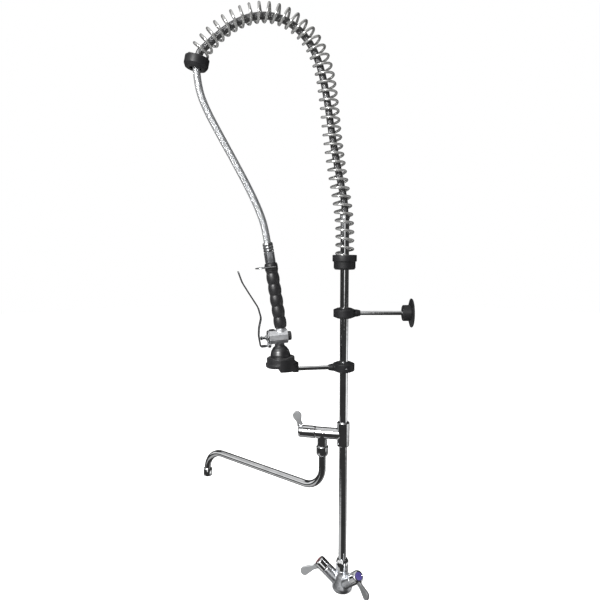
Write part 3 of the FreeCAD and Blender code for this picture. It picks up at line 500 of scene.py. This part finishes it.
SLOT_LOOKS = {
    "chrome": chrome, "black": black, "rubber": rubber, "steel": steel, "hose": hose_skin,
    "brass": brass, "blue": blue, "red": red, "grey": grey,
}
for part in frame["record"]["subparts"]:
    paint(frame["nodes"][part["node"]], SLOT_LOOKS[part["material_slot"]])


def stand_for(piece, body, material, slot, *nodes):
    """The piece takes the place of CAD nodes on their body."""
    paint(piece, material)
    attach(piece, body)
    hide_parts(*nodes)
    return piece


# ---- Studio --------------------------------------------------------------------------------------
# Panels of the studio that only reflections see: yaw from, yaw to, rise from, rise to, brightness.
# Yaw 0 is the side that the picture is taken from, and yaw grows towards the wall.
PANELS = (
    (-12, 7, -6, 80, 1.1),
    (-112, -14, 3, 26, 0.85),
    (-88, -14, 26, 56, 0.6),
    (-190, 190, 56, 95, 0.7),
    (62, 112, -20, -8, 0.95),
    (-168, -50, -40, -25, 0.5),
    (-168, -128, -25, -12, 0.5),
    (-105, -42, -62, -40, 0.5),
    (-140, -50, -80, -68, 0.4),
    (75, 165, -60, -20, 0.28),
)
ROOM = 0.035
PANEL_EDGE = 3.5
SOFT_GREY = (0.7, 0.7, 0.7, 1)
WHITE = (1, 1, 1, 1)
LIGHTS = (
    # name, yaw, rise, distance and size in metres, power, seen in reflections
    ("key", -28, 24, 2.2, 0.5, 60, True),
    ("top", 150, 62, 2.4, 1.2, 30, False),
    ("back", 200, 20, 2.4, 1.2, 18, False),
)
FLOOR_R = 6
FLOOR_GREYS = (0.93, 0.93, 0.93, 1), (0.96, 0.96, 0.96, 1)


def studio_world():
    """White room for the camera and soft light; reflections see a dark room with pale panels."""
    world = bpy.data.worlds.new("studio")
    scene.world = world
    world.use_nodes = True
    tree = world.node_tree
    tree.nodes.clear()
    parts = tree.nodes.new("ShaderNodeSeparateXYZ")
    tree.links.new(tree.nodes.new("ShaderNodeTexCoord").outputs["Generated"], parts.inputs[0])
    around = calc(tree, "DEGREES", calc(tree, "ARCTAN2", parts.outputs[1], parts.outputs[0]))
    above = calc(tree, "DEGREES", calc(tree, "ARCSINE", parts.outputs[2]))
    bands = ROOM
    for left, right, low, high, level in PANELS:
        panel = level
        sides = (around, left, 0, 1), (around, right, 1, 0), (above, low, 0, 1), (above, high, 1, 0)
        for value, edge, start, end in sides:
            side = ease(tree, value, edge - PANEL_EDGE, edge + PANEL_EDGE, start, end)
            panel = calc(tree, "MULTIPLY", panel, side)
        bands = calc(tree, "MAXIMUM", bands, panel)
    rays = tree.nodes.new("ShaderNodeLightPath")
    soft = mixed(tree, rays.outputs["Is Camera Ray"], SOFT_GREY, WHITE)
    banded = tree.nodes.new("ShaderNodeCombineColor")
    for socket in banded.inputs:
        wire(tree, bands, socket)
    seen = mixed(tree, rays.outputs["Is Glossy Ray"], soft, banded.outputs[0])
    light = tree.nodes.new("ShaderNodeBackground")
    wire(tree, seen, light.inputs["Color"])
    out = tree.nodes.new("ShaderNodeOutputWorld")
    tree.links.new(light.outputs[0], out.inputs["Surface"])


def soft_light(name, yaw, rise, distance, size, power, mirrored):
    """Square soft light aimed at the middle of the unit."""
    middle = (cad_low + cad_high) / 2
    data = bpy.data.lights.new(name, "AREA")
    data.size = size
    data.energy = power
    made = bpy.data.objects.new(name, data)
    made.visible_glossy = mirrored
    scene.collection.objects.link(made)
    direction = heading(yaw, rise)
    made.location = middle + direction * distance
    made.rotation_euler = direction.to_track_quat("Z", "Y").to_euler()


def studio():
    studio_world()
    for light in LIGHTS:
        soft_light(*light)
    bpy.ops.mesh.primitive_circle_add(vertices=96, radius=FLOOR_R, fill_type="NGON")
    floor = bpy.context.object
    floor.name = "floor"
    floor.visible_glossy = False
    made, tree, shader = start_material("floor", Roughness=0.9, Emission_Strength=0.4)
    shader.inputs["Emission Color"].default_value = WHITE
    wire(tree, mixed(tree, noise(tree, 3, 3), *FLOOR_GREYS), shader.inputs["Base Color"])
    paint(floor, made)


CAMERA_AT = (1.161, -0.0935, 0.760)
CAMERA_DROP = 5.6
SENSOR_MM = 36
LENS_MM = 33.18


def camera():
    """Looks along -X and slightly down, as in the photograph."""
    data = bpy.data.cameras.new("camera")
    data.sensor_width = SENSOR_MM
    data.lens = LENS_MM
    made = bpy.data.objects.new("camera", data)
    scene.collection.objects.link(made)
    made.location = CAMERA_AT
    made.rotation_euler = (math.radians(90 - CAMERA_DROP), 0, math.radians(90))
    scene.camera = made


camera()
studio()

# ---- Hose ----------------------------------------------------------------------------------------
HOSE_R = 7.2 * MM
HOSE_SIDES = 32
INSIDE_STEPS = 300
HANGING_STEPS = 240
# Poles of the routes in the arch's plane: out from the riser and up.
inner_line = [in_arch(*pole) for pole in (
    (0, 823), (0, 848), (10.4, 893), (21.2, 944), (30, 995), (37.4, 1044.5), (46.6, 1094.2),
    (59, 1135.2), (80.2, 1171.2), (111.8, 1198.4), (150.4, 1210.3), (190.8, 1206.1),
    (228.2, 1188.4), (257.8, 1164.9), (279.5, 1144), (294, 1132), (299.2, 1107.6))]
outer_line = [in_arch(*pole) for pole in (
    (299, 1105.4), (296.4, 1066), (281, 1025), (259, 984), (233, 937), (209, 893),
    (188.6, 853), (172.6, 815), (165.3, 785.5), (161.7, 762))]
inside = evenly(nurbs_line(inner_line), INSIDE_STEPS)
# The hose inside the spring takes the darker braid, which is painted shade from the spring.
stand_for(tube("hose_inside_spring", inside, HOSE_R, HOSE_SIDES), "arch", painted_shade_hose, "hose",
          "inner_hose")

hanging = evenly(nurbs_line(outer_line), HANGING_STEPS)
hose = tube("hose_hanging", hanging, HOSE_R, HOSE_SIDES)
paint(hose, hose_skin)
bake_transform(hose)
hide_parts("hanging_hose")

# ---- Spring --------------------------------------------------------------------------------------
SPRING_R = 17.3 * MM
SPRING_WIRE_R = 2.6 * MM
SPRING_TURNS = 41.5
TURN_STEPS = 40
WIRE_SIDES = 18
spring_line = [in_arch(*pole) for pole in (
    (0, 734.8), (0, 765), (0, 800), (6, 850), (19, 920), (29.4, 990), (35.6, 1056),
    (46.4, 1119), (70.5, 1171), (115, 1208), (165, 1218), (212, 1205), (250.5, 1179.5),
    (278, 1151), (294.2, 1131.1), (297.6, 1115))]


def spring():
    """Left-hand coil round its bent centre line."""
    centre = evenly(nurbs_line(spring_line), int(SPRING_TURNS * TURN_STEPS))
    tangents, _ = travel_frames(centre)
    line = []
    for i, (point, tangent) in enumerate(zip(centre, tangents)):
        inward = across_arch.cross(tangent).normalized()
        a = math.pi - 2 * math.pi * i / TURN_STEPS
        line.append(point + (inward * math.cos(a) + across_arch * math.sin(a)) * SPRING_R)
    return tube("spring_coil", line, SPRING_WIRE_R, WIRE_SIDES)


stand_for(spring(), "arch", spring_steel, "chrome", "spring")

# ---- Pieces that keep the CAD shape, with their edges and inner corners rounded ------------------
bodies = frame["record"]["behaviour"]["bodies"]
body_of = {node: body for body, nodes in bodies.items() for node in nodes}
slot_of = {part["node"]: part["material_slot"] for part in frame["record"]["subparts"]}

VALVE_AXES_MEET = (0, 0, 0.012)
TAP_AXIS_AT = (0, 0, 0.3548)
HANDLE_AXES = {
    # the frame whose Z is the cap's axis, and the cap's radius in millimetres
    "hot_handle": (place(VALVE_AXES_MEET, heading(253.9, 41.5), UP), 13.1),
    "cold_handle": (place(VALVE_AXES_MEET, heading(34.8, 40.4), UP), 13.1),
    "tap_handle": (place(TAP_AXIS_AT, heading(256.4), UP), 13.4),
}
CAP_MARGIN = 0.5


def satin_lever(piece, axis, cap_r):
    """Gives the part of a handle outside its cap the satin finish."""
    piece.data.materials.append(paddle_chrome)
    to_axis = axis.inverted()
    for face in piece.data.polygons:
        centre = to_axis @ face.center
        if math.hypot(centre.x, centre.y) > (cap_r + CAP_MARGIN) * MM:
            face.material_index = 1


CASTINGS = (
    # node, voxel in millimetres, rounds of smoothing, material
    ("mixer_body", 0.7, 10, cast_chrome),
    ("tee_body", 0.6, 6, chrome),
    ("hot_handle", 0.42, 5, chrome),
    ("cold_handle", 0.42, 5, chrome),
    ("tap_handle", 0.42, 5, chrome),
    ("valve_body", 0.4, 2, block_chrome),
    ("squeeze_lever", 0.45, 4, lever_chrome),
    ("bracket_collar", 0.6, 3, black),
    ("holder_collar", 0.6, 3, black),
    ("spray_holder", 0.6, 5, black),
)
for node, voxel, rounds, material in CASTINGS:
    piece = cast(copy_of(node), voxel, rounds)
    piece.name = node + "_cast"
    stand_for(piece, body_of[node], material, slot_of[node], node)
    if node in HANDLE_AXES:
        satin_lever(piece, *HANDLE_AXES[node])

MACHINED = (
    # node, edge round in millimetres, material
    ("riser_lock_nut", 0.5, chrome),
    ("spout_nut", 0.5, chrome),
    ("aerator_housing", 0.4, chrome),
    ("hose_nut", 0.5, cast_chrome),
    ("packing_nut", 0.3, steel),
    ("valve_front_ring", 0.3, chrome),
    ("valve_rear_cap", 0.6, gloss),
    ("grip_collar", 0.5, black),
    ("wall_flange", 0.5, black),
)
for node, width, material in MACHINED:
    piece = eased(copy_of(node), width)
    piece.name = node + "_eased"
    stand_for(piece, body_of[node], material, slot_of[node], node)

# ---- Turned pieces -------------------------------------------------------------------------------
FOOT = place((0, 0, 0), UP, (1, 0, 0))
NOZZLE_SHIFT = 5.2 * MM
CAP_TILT = 12
nozzle_place = head_place @ Matrix.Translation((NOZZLE_SHIFT, 0, 0))
cap_axis = arch_dir * math.sin(math.radians(CAP_TILT)) - UP * math.cos(math.radians(CAP_TILT))
cap_place = place(in_arch(296.2, 1121.8), cap_axis, arch_dir)

BUMP_PITCH = 23
FIRST_BUMP = 13
VALLEY_R = 11.7
BUMP_RISE = 1.8
BUMP_POWER = 0.85
GRIP_BORE_R = 7.2
GRIP_LOW, GRIP_HIGH = 1.6, 120.8
GRIP_STEP = 0.92
GRIP_ROWS = 128


def grip_radius(z):
    """Finger bumps: round tops and narrow valleys."""
    wave = abs(math.cos(math.pi * (z - FIRST_BUMP) / BUMP_PITCH))
    return VALLEY_R + BUMP_RISE * wave ** BUMP_POWER


grip_heights = [3 + GRIP_STEP * i for i in range(GRIP_ROWS)]
GRIP_OUTLINE = [
    (GRIP_BORE_R, GRIP_LOW), (grip_radius(2.6) - 0.2, GRIP_LOW, 0.8),
    *[(grip_radius(z), z) for z in grip_heights],
    (grip_radius(GRIP_HIGH) - 0.1, GRIP_HIGH, 0.5), (GRIP_BORE_R, GRIP_HIGH),
]

# Outlines: radius, height and the corner's own radius.
BELL_OUTLINE = [
    (6, -31.2, 0.3), (6, -37.5, 1), (11.4, -42, 3), (15.6, -47, 4), (18, -53, 4),
    (18.4, -64, 0.3), (26, -64, 0.4), (26, -61.6, 0.5), (20.8, -61.6, 1), (20.6, -54, 5),
    (18.6, -46.4, 8), (14.8, -40.4, 5), (10.6, -36.8, 1), (10.6, -35.7, 0.3),
    (9.9, -35.3, 0.3), (9.9, -31.2, 0.3),
]
BUMPER_OUTLINE = [
    (20.9, -60, 0.2), (27.4, -60, 1.2), (29.3, -61.6, 1.2), (29.3, -70.2, 0.6),
    (31.2, -71.2, 0.8), (32.2, -72.6, 0.8), (32.2, -77.6, 1.2), (30.2, -79.8, 1),
    (26.1, -79.8, 0.5), (26.1, -61.5, 0.2), (20.9, -61.5, 0.2),
]
FERRULE_OUTLINE = [
    (7.3, 160), (10.3, 160, 0.4), (10.6, 161, 0.4), (10.6, 164, 0.5), (9.9, 164.8, 0.4),
    (9.9, 166, 0.4), (10.6, 166.8, 0.5), (10.6, 169.6, 0.5), (9.9, 170.4, 0.4),
    (9.9, 171.6, 0.4), (10.6, 172.4, 0.5), (10.6, 175, 1), (9.4, 178.6, 0.8),
    (7.5, 178.6, 0.2), (7.5, 171), (7.3, 171),
]
BASE_NUT_OUTLINE = [
    (9.1, 710.5, 0.3), (20.5, 710.5, 1), (22.9, 713.9, 1.4), (22.9, 726.5, 0.4),
    (25.5, 727.9, 0.8), (25.5, 741, 1.2), (20.3, 741, 0.6), (20.3, 732, 0.5), (9.1, 732, 0.3),
]
END_CAP_OUTLINE = [
    (20.4, 0, 0.5), (23.8, 0, 1.2), (23.8, 15, 2.5), (20.2, 21.6, 1.5), (11.2, 21.6, 0.8),
    (11.2, 13, 0.5), (20.4, 13, 0.5),
]
GRIP_SMOOTH_ANGLE = 60
FINE, COARSE = 96, 72  # steps round a turned piece
TURNED = (
    # piece, frame, outline, steps, smooth angle, body, material, slot, node
    ("grip_sleeve", grip_place, GRIP_OUTLINE, COARSE, GRIP_SMOOTH_ANGLE,
     "handset", rubber, "rubber", "grip"),
    ("nozzle_dome", nozzle_place, BELL_OUTLINE, FINE, SMOOTH_ANGLE,
     "handset", gloss, "black", "nozzle_bell"),
    ("nozzle_rim", nozzle_place, BUMPER_OUTLINE, FINE, SMOOTH_ANGLE,
     "handset", rubber, "rubber", "nozzle_bumper"),
    ("hose_crimp", grip_place, FERRULE_OUTLINE, COARSE, SMOOTH_ANGLE,
     "handset", steel, "chrome", "hose_ferrule"),
    ("spring_foot", FOOT, BASE_NUT_OUTLINE, FINE, SMOOTH_ANGLE,
     "arch", black, "black", "spring_base_nut"),
    ("spring_cap", cap_place, END_CAP_OUTLINE, FINE, SMOOTH_ANGLE,
     "arch", black, "black", "spring_end_cap"),
)
for name, where, outline, steps, smooth_angle, body, material, slot, node in TURNED:
    stand_for(lathe(name, where, outline, steps, smooth_angle), body, material, slot, node)
